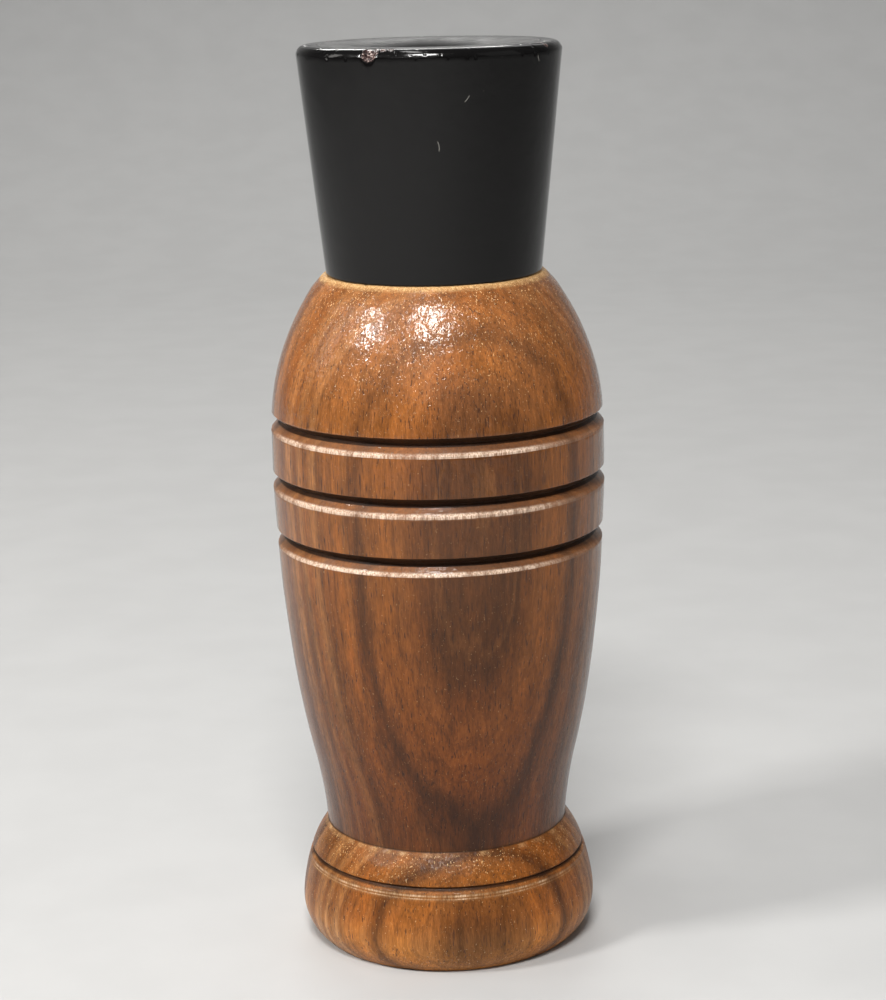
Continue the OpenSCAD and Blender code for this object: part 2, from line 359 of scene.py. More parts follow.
# ------------------------------------------------------------------ walnut
def walnut():
    g = Mat("walnut_lacquer")
    P = g.mm
    x, y, z = g.xyz(P)
    # growth layers lie nearly square to Y; tilt and curvature come from where one layer's U is cut by the turning
    slow = g.noise(g.scale(P, (0.06, 0.06, 0.02), loc=(3.1, 7.7, 1.9)), 1.0, 2.0, 0.5)
    mid = g.noise(g.scale(P, (0.30, 0.30, 0.04), loc=(9.1, 2.7, 5.9)), 1.0, 3.0, 0.55)
    t = g.mul(y, -1.0)
    t = g.add(t, g.mul(g.mul(x, x), 0.0054))
    t = g.add(t, g.mul(x, 0.16))
    t = g.add(t, g.mul(g.add(z, -20.0), -0.03))
    t = g.add(t, g.mul(g.add(slow, -0.5), 2.4))
    t = g.add(t, g.mul(g.add(mid, -0.5), 1.5))
    T0, T1 = -26.0, 26.0
    f = g.mul(g.add(t, -T0), 1.0 / (T1 - T0))
    rnd = random.Random(11)
    light, red, midc = (0.255, 0.105, 0.031), (0.235, 0.076, 0.0130), (0.208, 0.070, 0.0145)
    soft, dark = (0.145, 0.047, 0.0090), (0.088, 0.030, 0.0070)
    hand = [(26.0, dark), (22.0, dark), (20.7, dark), (20.1, soft), (19.3, midc), (18.6, red), (18.0, red), (17.5, midc),
            (16.75, dark), (16.2, soft), (15.4, red), (14.2, midc), (13.4, soft), (12.4, light), (11.3, midc),
            (10.5, light), (9.6, soft), (8.7, light)]
    pos = 8.0
    while pos > -25 and len(hand) < 30:
        w = rnd.uniform(0.8, 1.4)
        hand.append((pos, light if rnd.random() < 0.6 else red))
        hand.append((pos - w, dark if rnd.random() < 0.3 else soft))
        pos -= w + rnd.uniform(3.4, 4.8)
    hand.append((-26.0, midc))
    stops = [((p - T0) / (T1 - T0), c) for p, c in sorted(hand)]
    rings = g.ramp(f, stops, "EASE")
    # thin lines inside each layer
    lines = g.noise1(t, 1.9, 4.0, 0.62)
    col = g.mix(g.smooth(lines, 0.50, 0.70, 0.0, 0.36), rings, dark)
    pale = g.noise1(g.add(t, 40.0), 1.3, 3.0, 0.6)
    col = g.mix(g.smooth(pale, 0.56, 0.74, 0.0, 0.28), col, light)
    # above the grooves the figure is fainter, but for one soft dark cloud right of the middle
    calm = g.smooth(z, 68.0, 78.0, 0.0, 0.45)
    col = g.mix(calm, col, (0.220, 0.076, 0.0185))
    streak = g.noise(g.scale(P, (0.62, 0.62, 0.035), loc=(2.2, 8.1, 3.0)), 1.0, 3.0, 0.6)
    col = g.mix(1.0, col, g.ramp(streak, [(0.34, 0.80), (0.5, 1.0), (0.68, 1.16)]), "MULTIPLY")
    cx_, cz_ = g.mul(g.add(x, -4.6), 1 / 7.5), g.mul(g.add(z, -76.5), 1 / 6.0)
    cloud = g.math("SQRT", g.add(g.mul(cx_, cx_), g.mul(cz_, cz_)))
    cloud = g.add(cloud, g.mul(g.add(slow, -0.5), 1.4))
    cloud = g.add(cloud, g.smooth(y, -6.0, 0.0, 0.0, 3.0))
    col = g.mix(g.smooth(cloud, 0.35, 1.15, 0.58, 0.0), col, (0.085, 0.036, 0.015))
    # broad change of tone
    tone = g.noise(g.scale(P, (0.075, 0.075, 0.03), loc=(1.3, 4.2, 8.8)), 1.0, 2.0)
    col = g.mix(g.smooth(tone, 0.42, 0.68, 0.0, 0.5), col, g.mix(1.0, col, (1.35, 1.2, 1.0), "MULTIPLY"))
    # fibres along Z
    fib = g.noise(g.scale(P, (2.4, 2.4, 0.10)), 1.0, 5.0, 0.66)
    col = g.mix(1.0, col, g.ramp(fib, [(0.30, 0.74), (0.5, 1.0), (0.70, 1.24)]), "MULTIPLY")
    fine = g.noise(g.scale(P, (6.5, 6.5, 0.75)), 1.0, 3.0, 0.62)
    col = g.mix(1.0, col, g.ramp(fine, [(0.32, 0.78), (0.5, 1.0), (0.68, 1.22)]), "MULTIPLY")
    mott = g.noise(g.scale(P, (1.1, 1.1, 0.45), loc=(4, 4, 1)), 1.0, 4.0, 0.6)
    col = g.mix(1.0, col, g.ramp(mott, [(0.32, 0.88), (0.5, 1.0), (0.68, 1.13)]), "MULTIPLY")
    # open pores: short dark dashes along the grain, ragged at their ends
    pz = g.add(z, g.mul(g.noise(g.scale(P, (3.0, 3.0, 0.05)), 1.0, 1.0), 9.0))
    pores = g.noise(g.combine(g.mul(x, 4.2), g.mul(y, 4.2), g.mul(pz, 0.42)), 1.0, 1.5, 0.5)
    pore = g.smooth(pores, 0.375, 0.315, 0.0, 1.0)
    col = g.mix(g.mul(pore, 0.72), col, (0.034, 0.014, 0.008))
    # painted highlight: pale golden flecks put into the colour where the skin cuts across the grain, standing in for
    # glints of light on the lacquer
    fl = g.noise(g.scale(P, (4.6, 4.6, 2.8), loc=(6.6, 1.2, 0.4)), 1.0, 2.0, 0.65)
    fpatch = g.noise(g.scale(P, (0.35, 0.35, 0.3), loc=(1.6, 0.2, 5.4)), 1.0, 2.0, 0.5)
    endg = g.attr("tilt")
    cut = g.mad(g.mul(endg, g.smooth(fpatch, 0.35, 0.6, 0.45, 1.0)), -0.075, 0.69)
    over = g.math("SUBTRACT", fl, cut)
    painted_glint = g.smooth(over, 0.0, 0.045, 0.0, 1.0)
    col = g.mix(g.mul(g.mul(painted_glint, g.mad(endg, 0.45, 0.25)), g.smooth(z, 2.5, 5.0, 0.25, 1.0)), col, (0.85, 0.56, 0.26))
    # painted light: the foot and the shoulder are made lighter and paler, standing in for the top light and the light
    # bounced from the floor; painted shade: the waist is made darker and browner
    warm = g.attr("warm")
    col = g.mix(warm, col, g.mix(1.0, col, (1.30, 1.34, 1.50), "MULTIPLY"))
    # painted light: the bottom of the foot is made lighter still, standing in for light bounced from the floor
    col = g.mix(g.smooth(z, 8.0, 2.5, 0.0, 1.0), col, g.mix(1.0, col, (1.45, 1.72, 2.1), "MULTIPLY"))
    # painted shade: the waist and lower body are darker and browner, fading out towards the belly
    brown = g.attr("brown")
    col = g.mix(brown, col, g.mix(1.0, col, (0.53, 0.45, 0.38), "MULTIPLY"))
    # pale bare cut of the grooves' lower faces and of the edge at the joint, with painted highlight on top: the lips
    # are paler at the front left and fade round the sides
    lip = g.attr("lip")
    rag = g.noise(g.scale(P, (3.2, 3.2, 1.0)), 1.0, 3.0, 0.6)
    lip_cut_highlight_mask = g.mul(lip, g.smooth(rag, 0.34, 0.54, 0.62, 0.98))
    pale_cut = g.mix(g.smooth(fine, 0.36, 0.60), (0.40, 0.235, 0.150), (0.82, 0.64, 0.50))
    lilac = g.mix(g.smooth(lip, 0.45, 0.95), (0.20, 0.095, 0.050), pale_cut)
    gold = g.mix(g.smooth(fine, 0.38, 0.62), (0.42, 0.21, 0.07), (0.78, 0.52, 0.25))
    col = g.mix(lip_cut_highlight_mask, col, g.mix(g.attr("gold"), lilac, gold))
    # painted shade: the grooves' upper faces, the foot line's groove, the waist's inside corner and the upper bore are
    # darkened
    shade = g.attr("shade")
    col = g.mix(g.mul(shade, 0.88), col, (0.016, 0.009, 0.006))
    g.set(Base_Color=col)
    # lacquer: wavy where it sank into the pores
    rough = g.mad(fib, 0.16, 0.34)
    rough = g.add(rough, g.mul(lip_cut_highlight_mask, 0.12))
    g.set(Roughness=rough)
    peel = g.noise(P, 1.5, 2.0, 0.5)
    pv = g.scale(P, (1.0, 1.0, 0.62))
    wob = g.t.nodes.new("ShaderNodeVectorMath")
    wob.operation = "ADD"
    nv = g.t.nodes.new("ShaderNodeTexNoise")
    g.put(nv.inputs["Vector"], P)
    nv.inputs["Scale"].default_value = 2.2
    sc = g.t.nodes.new("ShaderNodeVectorMath")
    sc.operation = "SCALE"
    g.put(sc.inputs[0], nv.outputs["Color"])
    sc.inputs["Scale"].default_value = 0.5
    g.put(wob.inputs[0], pv)
    g.put(wob.inputs[1], sc.outputs[0])
    crat = g.voronoi(wob.outputs[0], 2.9)["Distance"]
    crater = g.smooth(crat, 0.10, 0.46, 0.0, 1.0)
    patch = g.smooth(g.noise(P, 0.55, 2.0), 0.36, 0.58, 0.35, 1.0)
    crater = g.mul(crater, patch)
    plain = g.mad(g.math("MAXIMUM", lip, shade), -0.8, 1.0)
    crater = g.mul(crater, plain)
    h = g.add(g.mul(peel, 0.8), g.mul(crater, 0.4))
    h = g.add(h, g.mul(pore, -0.7))
    h = g.add(h, g.mul(fine, 0.6))
    nrm = g.bump(h, 0.8, 0.00004)
    hc = g.add(g.mul(peel, g.mad(endg, 1.2, 1.2)), g.mul(crater, g.mad(endg, 0.9, 0.95)))
    hc = g.add(hc, g.mul(pore, -0.5))
    rough_foot = g.smooth(z, 16.6, 15.6, 0.0, 1.0)
    hc = g.mul(hc, g.mad(rough_foot, 1.2, 1.0))
    hc = g.add(hc, g.mul(g.mul(fine, g.mad(endg, 0.30, 0.28)), plain))
    coatn = g.bump(hc, 1.0, 0.000030)
    g.set(Normal=nrm)
    g.put(g.bsdf.inputs["Coat Normal"], coatn)
    g.put(g.bsdf.inputs["Coat Weight"], g.mul(g.add(g.smooth(z, 45.0, 62.0, 0.58, 0.88), g.mul(rough_foot, -0.36)), plain))
    g.bsdf.inputs["Coat Roughness"].default_value = 0.05
    g.bsdf.inputs["Coat IOR"].default_value = 1.42
    g.bsdf.inputs["Specular IOR Level"].default_value = 0.12
    return g.m


FOOT, WAIST, LIPR = 19.9, 16.2, 14.5
foot_pts = [(0, FOOT - 2.35), (1, FOOT - 1.4), (2.5, FOOT - 0.5), (5, FOOT), (8, FOOT - 0.35),
            (11.7, FOOT - 1.3), (14, FOOT - 2.3), (16.1, WAIST)]
body_pts = [(16.1, WAIST), (20, WAIST + 0.45), (24, WAIST + 1.15), (28, WAIST + 2.05), (32, WAIST + 2.85),
            (38, WAIST + 3.8), (44, BELLY - 1.25), (50, BELLY - 0.65), (56.4, BELLY - 0.3), (64.3, BELLY),
            (71.9, BELLY - 0.1), (75, BELLY - 0.4), (78, BELLY - 1), (81, BELLY - 1.95), (84, BELLY - 3.2),
            (87, BELLY - 4.8), (89, BELLY - 6.1), (ZJ, LIPR)]
GROOVES = [56.1, 63.8, 71.5]
FOOT_LINE = 11.7
curve = hermite(foot_pts, 3.2)[:-1] + hermite(body_pts, 3.2)


def rad(zq):
    for (r0, z0), (r1, z1) in zip(curve, curve[1:]):
        if z0 <= zq <= z1:
            return r0 + (r1 - r0) * (zq - z0) / max(1e-9, z1 - z0)
    return curve[-1][0]


def make_barrel():
    pts = []
    cuts = [(zc, 2.3, 1.15) for zc in GROOVES] + [(FOOT_LINE, 0.9, 0.45)]
    outside = []
    for r, z in curve:
        if any(zc - w / 2 - 0.05 < z < zc + w / 2 + 0.05 for zc, w, d in cuts):
            continue
        outside.append((r, z, 0.0, "skin"))
    for zc, w, d in cuts:
        big = w > 1.5
        r = rad(zc)
        grp = [(rad(zc - w / 2), zc - w / 2, 0.10 if big else 0.05, "lip"),
               (r - d, zc + w * 0.12, 0.06 if big else 0.03, "floor"),
               (rad(zc + w / 2), zc + w / 2, 0.09 if big else 0.05, "upper")]
        if not big:   # two fine tool lines under the foot's line
            grp = [(rad(zc - 1.25), zc - 1.25, 0.0, "toolline"), (rad(zc - 1.1) - 0.07, zc - 1.1, 0.0, "toolline"),
                   (rad(zc - 0.95) - 0.01, zc - 0.95, 0.0, "toolline"), (rad(zc - 0.8) - 0.07, zc - 0.8, 0.0, "toolline"),
                   (rad(zc - 0.66), zc - 0.66, 0.0, "toolline")] + grp
            outside = [o for o in outside if not zc - 1.3 < o[1] < zc - 0.6]
        outside += grp
    outside.sort(key=lambda p: p[1])
    # the waist's corner is a crisp inside corner
    outside = [(r, z, (0.05 if abs(z - 16.1) < 1e-6 else f), tag) for r, z, f, tag in outside]
    r0 = outside[0][0]
    outside[0] = (r0, 0.0, 0.35, "skin")
    outside[-1] = (LIPR, ZJ, 0.10, "top")
    inner = [(BORE + 0.6, ZJ, 0.05, "top"), (BORE, ZJ - 0.9, 0.1, "bore")]
    mouth_r, mouth_d = 12.4, 6.0
    dish = []
    for k in range(0, 13):
        a = math.radians(90 * k / 12)
        dish.append((BORE + (mouth_r - BORE) * (1 - math.sin(a)), mouth_d * (1 - math.cos(a)), 0.0, "dish"))
    dish = sorted(dish, key=lambda p: -p[1])
    dish[-1] = (mouth_r, 0.0, 0.3, "dish")
    loop = outside + inner + dish
    loop = fillet(loop, 0)

    def step(r, z):
        if z > ZJ - 2.2 and r > BORE + 0.3:
            return 0.16
        for zc in GROOVES:
            if abs(z - zc) < 1.5 and r > 18:
                return 0.14
        if r > 14 and z > 0.01:
            return 0.34
        return 1.6

    loop = resample(loop, step)

    def warp(r, phi, z, tag):
        cx, cy = math.sin(phi), math.cos(phi)
        ex = {}
        if r > BORE + 1.5 and z > 0.3:
            # hand-turned and sanded: the surface wanders by a few hundredths
            r2 = r + 0.045 * fbm(cx * 2.1, cy * 2.1, z * 0.07, 3)
            # end-grain tilt: how far the skin turns from the grain's direction
            dz = 0.6
            if 0.8 < z < ZJ - 0.2:
                sl = abs(rad(min(ZJ, z + dz)) - rad(max(0, z - dz))) / (2 * dz)
                ex["tilt"] = min(1.0, sl * 1.5)
            # painted light on the foot and the shoulder
            ex["warm"] = (max(0.0, min(1.0, (11.0 - z) / 6.0)) * 0.9 if z < 16.1 else 0.0) + max(0.0, min(1.0, (z - 66) / 14)) * 0.95
            # painted shade on the waist and lower body
            ex["brown"] = max(0.0, min(1.0, (56.0 - z) / 34.0)) if z > 16.2 else 0.0
            near = min(GROOVES, key=lambda q: abs(q - z))
            d = z - near
            if abs(d) < 1.4 and z > 50:
                rr = rad(z) - r
                edge = fbm(cx * 30, cy * 30, near, 3)
                if d < -0.10 and (rr > 0.03 or d < -1.02):
                    # pale bare cut of the groove's lower lip, with painted highlight: paler towards the front left,
                    # fading round the sides
                    ex["lip"] = 0.45 + 0.55 * max(0.0, min(1.0, (-0.66 - d) / 0.26)) * (0.30 + 0.70 * max(0.0, min(1.0, (42 - abs(math.degrees((phi + math.pi) % (2 * math.pi) - math.pi) + 14)) / 22 + 1.0))) * max(0.35, min(1.0, 0.85 + 0.5 * fbm(cx * 38, cy * 38, near + 2.0, 3) + 0.35 * fbm(cx * 5, cy * 5, near, 2)))
                # painted shade on the groove's upper face
                if d >= -0.10 and rr > 0.05:
                    ex["shade"] = 1.0
                if abs(rr) < 0.2 and d < -0.92:
                    r2 += 0.05 * edge
                if abs(rr) < 0.2 and d > 0.92:
                    r2 += 0.03 * edge
            # painted shade inside the foot line's groove
            if abs(z - FOOT_LINE) < 0.5 and z > FOOT_LINE - 0.1:
                ex["shade"] = 0.9 if rad(z) - r > 0.05 else 0.0
            # tool lines under the foot's line, with painted highlight: paler at the front
            if FOOT_LINE - 1.4 < z < FOOT_LINE - 0.1:
                q = abs(FOOT_LINE - z - 0.8) < 0.05 or abs(FOOT_LINE - z - 0.66) < 0.05 or abs(FOOT_LINE - z - 1.1) < 0.05
                ex["lip"] = max(0.0, (0.95 if q else 0.12) * max(0.0, 0.75 + 0.8 * fbm(cx * 7, cy * 7, 3.0, 3)) * (0.35 + 0.65 * max(0.0, math.cos(phi + 0.15))))
                ex["gold"] = 0.45
            # pale edge under the waist, with painted highlight: paler on the left
            if 15.5 < z < 16.0:
                ex["lip"] = max(0.0, 0.10 - 0.25 * cx + 0.9 * fbm(cx * 9 + 3, cy * 9, 1.0, 3)) * 0.8
                ex["gold"] = 0.7
            # painted shade in the waist's inside corner
            if abs(z - 16.15) < 0.16:
                ex["shade"] = 0.85
            if z > ZJ - 0.7 and r > 13.2:
                e = fbm(cx * 26, cy * 26, 4.4, 4)
                e2 = n3(cx * 60, cy * 60, z * 3)
                k = (z - (ZJ - 0.7)) / 0.7
                r2 += (0.10 * e + 0.05 * e2) * k
                z2 = z - max(0.0, (0.10 * e2 + 0.12 * e)) * k * k
                ex["lip"] = min(1.0, k * (1.35 + 0.8 * e + 0.6 * e2))
                ex["gold"] = 1.0
                return r2, phi, min(z2, ZJ), ex
            return r2, phi, z, ex
        if z < 0.3 and r > mouth_r:
            # painted light on the rest face under the foot
            ex["warm"] = 0.9
        # painted shade inside the bore, above 8 mm
        if tag in ("bore", "dish") and z > 8:
            ex["shade"] = 0.25
        return r, phi, z, ex

    ob = lathe("barrel_turned", loop, 420, warp, ("tilt", "warm", "brown", "lip", "shade", "gold"))
    ob.data.materials.append(walnut())
    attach(ob, "barrel")
    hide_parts("barrel")
    return ob


# ------------------------------------------------------------------ stopper
def black_plastic():
    g = Mat("black_polished")
    P = g.mm
    chip = g.attr("chip")
    dust = g.noise(g.scale(P, (1, 1, 1)), 5.0, 2.0, 0.6)
    speck = g.smooth(dust, 0.775, 0.80, 0.0, 1.0)
    base = g.mix(g.mul(speck, 0.5), (0.0032, 0.0029, 0.0029), (0.20, 0.19, 0.17))
    # a fractured surface is duller, paler and brown-pink
    cn = g.noise(P, 2.6, 4.0, 0.7)
    chipc = g.ramp(cn, [(0.36, (0.006, 0.003, 0.003)), (0.48, (0.026, 0.012, 0.011)), (0.56, (0.105, 0.060, 0.052)), (0.64, (0.55, 0.45, 0.41))])
    cf = g.smooth(chip, 0.25, 0.6, 0.0, 1.0)
    # three short bright scratches on the front
    X, Y, Z = g.xyz(P)
    marks = None
    for x0, z0, ang, half, bow in ((1.0, 108.1, 8, 0.75, 0.25), (4.6, 113.8, -38, 0.60, 0.2), (13.6, 118.2, 12, 0.45, -0.3)):
        ca, sa = math.cos(math.radians(ang)), math.sin(math.radians(ang))
        dx, dz = g.add(X, -x0), g.add(Z, -z0)
        u = g.add(g.mul(dx, ca), g.mul(dz, sa))
        v = g.add(g.mul(dx, -sa), g.mul(dz, ca))
        u = g.add(u, g.mul(g.mul(v, v), bow))
        m1 = g.smooth(g.math("ABSOLUTE", u), 0.09, 0.03, 0.0, 1.0)
        m2 = g.smooth(g.math("ABSOLUTE", v), half, half * 0.55, 0.0, 1.0)
        k = g.mul(g.mul(m1, m2), g.smooth(Y, -1.0, -2.0, 0.0, 1.0))
        marks = k if marks is None else g.math("MAXIMUM", marks, k)
    base = g.mix(g.mul(marks, 0.5), base, (0.30, 0.29, 0.26))
    col = g.mix(cf, base, chipc)
    g.set(Base_Color=col)
    smear = g.noise(g.scale(P, (0.35, 0.35, 0.09), rot=(0.3, 0.2, 0)), 1.0, 4.0, 0.6)
    r = g.ramp(smear, [(0.35, 0.07), (0.55, 0.12), (0.75, 0.20)])
    r = g.add(r, g.mul(cf, 0.16))
    r = g.add(r, g.mul(g.attr("inner"), 0.38))
    g.set(Roughness=r)
    # fine turning and polishing marks
    cyl = g.noise(g.scale(P, (0.15, 0.15, 9.0)), 1.0, 3.0, 0.6)
    wav = g.noise(P, 0.35, 2.0, 0.5)
    scr = g.noise(g.scale(P, (1.2, 1.2, 14.0), rot=(0.5, 0.9, 0.2)), 1.0, 2.0, 0.5)
    h = g.add(g.mul(cyl, 0.05), g.mul(wav, 0.9))
    h = g.add(h, g.mul(g.smooth(scr, 0.68, 0.72), -0.04))
    h = g.add(h, g.mul(g.mul(cn, cf), 3.0))
    g.set(Normal=g.bump(h, 0.5, 0.00009))
    g.bsdf.inputs["Specular IOR Level"].default_value = 0.30
    return g.m


def make_stopper():
    H = ZT - ZJ
    r0, r1, rr = 14.1, 17.2, 1.15
    slant = (r1 - r0) / H
    top = r1 - rr * slant
    pts = [(r0, 0, 0.12, "out")]
    pts.append((top, H - rr, 0.0, "out"))
    bx, bz, bead = 0.0, 0.0, []
    for k in range(1, 41):
        a = math.radians(90 * (k - 0.5) / 40)
        w = 1.0 + 2.6 * math.exp(-((math.degrees(a) - 27) / 5.0) ** 2) + 2.4 * math.exp(-((math.degrees(a) - 46) / 5.0) ** 2) + 2.8 * math.exp(-((math.degrees(a) - 72) / 6.0) ** 2)
        bx, bz = bx - math.sin(a) * w, bz + math.cos(a) * w
        bead.append((bx, bz))
    for k in range(1, 41, 2):
        pts.append((top + bead[k][0] / abs(bead[-1][0]) * rr, H - rr + bead[k][1] / bead[-1][1] * rr, 0.0, "rim"))
    ex_r, bell_r, bell_d = 4.4, 12.0, 8.0
    bell = []
    for k in range(0, 19):
        a = math.radians(90 * k / 18)
        bell.append((ex_r + (bell_r - ex_r) * (1 - math.cos(a)), H - bell_d * (1 - math.sin(a)), 0.0, "bell"))
    bell = [b for b in bell]
    bell[-1] = (bell_r, H, 0.5, "bell")
    bell.reverse()
    pts += bell
    pts += [(ex_r, 19.2, 0.25, "hole"), (BORE, 19.2 - 1.0, 0.0, "socket"), (BORE, 0.5, 0.0, "socket"), (BORE + 0.4, 0, 0.05, "socket")]
    pts = [p for p in pts]
    # flat socket floor
    fix = []
    for p in pts:
        if p[3] == "socket" and abs(p[1] - 18.2) < 1e-6:
            fix.append((ex_r, 18.2, 0.2, "hole"))
            fix.append((BORE, 18.2, 0.0, "socket"))
        elif p[3] == "hole":
            continue
        else:
            fix.append(p)
    loop = fillet(fix, 0)

    def step(r, z):
        if z > H - 3.4 and r > 15.0:
            return 0.10
        if r > 13.9:
            return 0.5
        return 1.0

    loop = resample(loop, step)
    # chips along the front left of the rim: (angle in degrees, distance below the top, half width, half height, depth)
    chips = [(-25.8, 0.85, 1.00, 1.00, 0.80), (-24.4, 0.30, 0.95, 0.50, 0.50), (-28.2, 0.15, 0.55, 0.35, 0.28),
             (-20.0, 0.12, 0.60, 0.22, 0.20), (-16.5, 0.10, 0.40, 0.18, 0.15),
             (62.0, 0.3, 0.5, 0.3, 0.14), (148.0, 0.4, 0.7, 0.35, 0.2), (-121.0, 0.2, 0.5, 0.3, 0.14)]

    def warp(r, phi, z, tag):
        ex = {}
        if z > H - 3.4 and r > 15.0:
            deg = math.degrees((phi + math.pi) % (2 * math.pi) - math.pi)
            best = 0.0
            cut = 0.0
            for (a, dz, hw, hh, dep) in chips:
                s = (deg - a) * math.pi / 180 * 17.0
                if abs(s) > hw * 2.2:
                    continue
                u, v = s / hw, ((H - z) - dz) / hh
                if (H - z) < dz:
                    v *= 0.45
                e = math.hypot(u, v) + 0.42 * fbm(s * 1.1, z * 1.3, a, 3)
                k = max(0.0, min(1.0, (1.0 - e) / 0.30))
                cell = 0.62 + 0.9 * n3(s * 2.6 + 5, z * 2.6, a)
                cut = max(cut, k * dep * cell * max(0.25, 1 - max(0.0, e)))
                best = max(best, k)
            # nicks all round the rim
            nick = max(0.0, fbm(math.sin(phi) * 24, math.cos(phi) * 24, z * 1.1, 3) - 0.42) * 0.22
            if tag == "rim":
                cut += nick
            if cut > 0:
                # inwards, towards the rim's own centre
                cr, cz = top - rr, H - rr
                dr, dzv = r - cr, z - cz
                ln = math.hypot(dr, dzv) or 1
                if dzv < 0:
                    r -= cut
                else:
                    r -= cut * dr / ln
                    z -= cut * dzv / ln
            ex["chip"] = best
        if tag in ("bell", "hole", "socket"):
            ex["inner"] = 1.0
        return r, phi, z + ZJ, ex

    ob = lathe("stopper_turned", loop, 900, warp, ("chip", "inner"))
    ob.data.materials.append(black_plastic())
    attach(ob, "insert")
    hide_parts("stopper")
    return ob


# ------------------------------------------------------------------ insert
def insert_plastic():
    g = Mat("insert_moulded")
    P = g.mm
    a = g.noise(P, 0.5, 3.0, 0.5)
    b = g.noise(P, 9.0, 3.0, 0.6)
    col = g.mix(g.smooth(a, 0.35, 0.7), (0.020, 0.024, 0.021), (0.034, 0.039, 0.034))
    col = g.mix(g.smooth(b, 0.64, 0.72, 0.0, 0.35), col, (0.09, 0.095, 0.085))
    g.set(Base_Color=col, Roughness=g.mad(b, 0.22, 0.34))
    tool = g.noise(g.scale(P, (1.0, 1.0, 6.0)), 1.0, 2.0, 0.5)
    g.set(Normal=g.bump(g.add(g.mul(b, 0.6), g.mul(tool, 0.5)), 0.35, 0.00005))
    return g.m


def dress_tone_board():
    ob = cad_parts["tone_board"]
    m = insert_plastic()
    if ob.data.materials:
        ob.data.materials[0] = m
    else:
        ob.data.materials.append(m)
    for i in range(len(ob.material_slots)):
        ob.material_slots[i].material = m


def reed_material(name, tint, milk):
    g = Mat(name)
    P = g.mm
    scr = g.noise(g.scale(P, (8.0, 8.0, 0.25)), 1.0, 3.0, 0.6)
    cloud = g.noise(P, 0.35, 3.0, 0.5)
    col = g.mix(g.smooth(cloud, 0.3, 0.7), tint, tuple(min(1, v * 1.12 + 0.02) for v in tint))
    col = g.mix(g.smooth(scr, 0.62, 0.72, 0, 0.4), col, (0.92, 0.93, 0.92))
    g.set(Base_Color=col, Roughness=g.mad(scr, 0.2, 0.16))
    g.bsdf.inputs["Transmission Weight"].default_value = milk
    g.bsdf.inputs["IOR"].default_value = 1.6
    g.set(Normal=g.bump(scr, 0.25, 0.00003))
    return g.m


def make_reed(name, node, z0, yfun, thick, width, tip_r, dimple=None, mat=None):
    """A thin strip with a rounded tip; yfun(z) is the y of its face towards the board (mm)."""
    z1 = hi(node).z / MM
    rows = []
    nz = 150
    zs = [z0 + (z1 - z0) * (i / nz) ** 1.0 for i in range(nz + 1)]
    # denser near the tip
    tipz = [z0 + tip_r * (1 - math.cos(math.radians(90 * i / 14))) for i in range(15)]
    zs = sorted(set([round(v, 5) for v in tipz + [v for v in zs if v > z0 + tip_r + 0.1]]))
    nx = 24
    c = 0.9

    def half(z):
        w = width / 2
        if z < z0 + tip_r:
            d = tip_r - (z - z0)
            w = width / 2 - tip_r + math.sqrt(max(0.0, tip_r ** 2 - d * d))
        if z > z1 - c:
            w = min(w, width / 2 - (z - (z1 - c)))
        return w

    verts, faces = [], []
    for side in (0, 1):
        for z in zs:
            w = half(z)
            for i in range(nx + 1):
                s = 2 * i / nx - 1
                # edges rounded over by a few hundredths
                s2 = math.copysign(abs(s) ** 0.8, s)
                xx = w * s2
                edge = max(0.0, abs(s2) - 0.97) / 0.03
                yy = yfun(z)
                b = 0.0
                if dimple:
                    dx, dzv = xx, z - dimple[0]
                    q = math.hypot(dx, dzv)
                    if q < dimple[1]:
                        b = dimple[2] * (0.5 + 0.5 * math.cos(math.pi * q / dimple[1]))
                y = yy + b - (thick if side else 0) * (1 - 0.0 * edge)
                ins = 0.25 * thick * edge
                y += ins if side else -ins
                verts.append((xx * MM, y * MM, z * MM))
    n = len(zs) * (nx + 1)
    W = nx + 1
    for j in range(len(zs) - 1):
        for i in range(nx):
            a = j * W + i
            faces.append((a, a + 1, a + W + 1, a + W))
            faces.append((n + a, n + a + W, n + a + W + 1, n + a + 1))
    for j in range(len(zs) - 1):
        a = j * W
        faces.append((a, a + W, n + a + W, n + a))
        a = j * W + nx
        faces.append((a, n + a, n + a + W, a + W))
    for i in range(nx):
        faces.append((i, n + i, n + i + 1, i + 1))
        a = (len(zs) - 1) * W + i
        faces.append((a, a + 1, n + a + 1, n + a))
    me = bpy.data.meshes.new(name)
    me.from_pydata(verts, [], faces)
    me.update()
    ob = bpy.data.objects.new(name, me)
    scene.collection.objects.link(ob)
    finish_mesh(ob)
    sharp_by_angle(ob, 50)
    ob.data.materials.append(mat)
    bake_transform(ob)
    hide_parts(node)
    return ob


def cork():
    g = Mat("cork_block")
    P = g.mm
    v = g.voronoi(P, 1.6)
    cellc = g.ramp(g.noise(P, 1.3, 3.0, 0.6), [(0.3, (0.30, 0.17, 0.085)), (0.5, (0.50, 0.32, 0.17)), (0.7, (0.64, 0.44, 0.26))])
    pit = g.noise(g.scale(P, (1.4, 1.4, 0.9), loc=(5, 1, 2)), 1.0, 4.0, 0.65)
    dark = g.smooth(pit, 0.40, 0.33, 0.0, 1.0)
    col = g.mix(g.mul(dark, 0.85), cellc, (0.09, 0.045, 0.022))
    fine = g.noise(P, 7.0, 3.0, 0.7)
    col = g.mix(1.0, col, g.ramp(fine, [(0.3, 0.7), (0.7, 1.25)]), "MULTIPLY")
    g.set(Base_Color=col, Roughness=g.mad(fine, 0.2, 0.68))
    h = g.add(g.mul(dark, -1.2), g.mul(fine, 0.4))
    h = g.add(h, g.mul(v["Distance"], 0.3))
    g.set(Normal=g.bump(h, 0.7, 0.00012))
    return g.m


